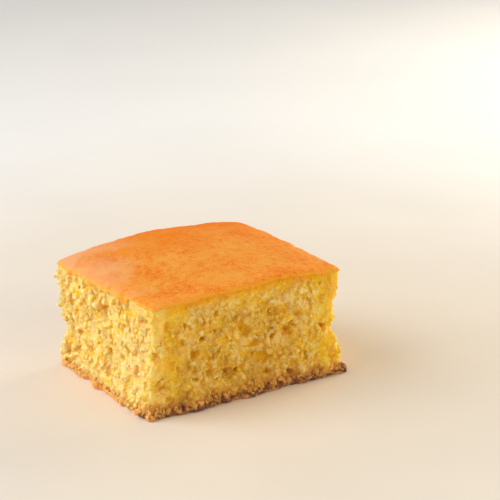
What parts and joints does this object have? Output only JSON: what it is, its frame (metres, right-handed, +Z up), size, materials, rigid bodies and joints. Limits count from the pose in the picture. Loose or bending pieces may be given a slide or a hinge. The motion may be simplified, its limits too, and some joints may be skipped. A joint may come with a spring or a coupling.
{
  "type": "cornbread piece",
  "caption": "Cut rectangle of yellow cornbread: domed orange-brown top crust, rough torn crumb on its cut sides and a browned, beaded bottom crust it rests on.",
  "frame": {"origin": "on the flat underside, below the middle of the piece's outer box", "axes": "+X along the longer side, +Y along the shorter side away from the darker cut wall, +Z up through the domed top"},
  "size_m": [0.0738, 0.06, 0.0379],
  "materials": {
    "crumb": "soft, open, moist yellow crumb, matte with fine pale grains and darker hollows",
    "top_crust": "smooth thin baked crust, orange-brown, with a soft sheen and fine speckle",
    "bottom_crust": "rough browned crust in small beads, matte"
  },
  "bodies": {
    "root": {"cornbread": "crumb"}
  },
  "joints": []
}
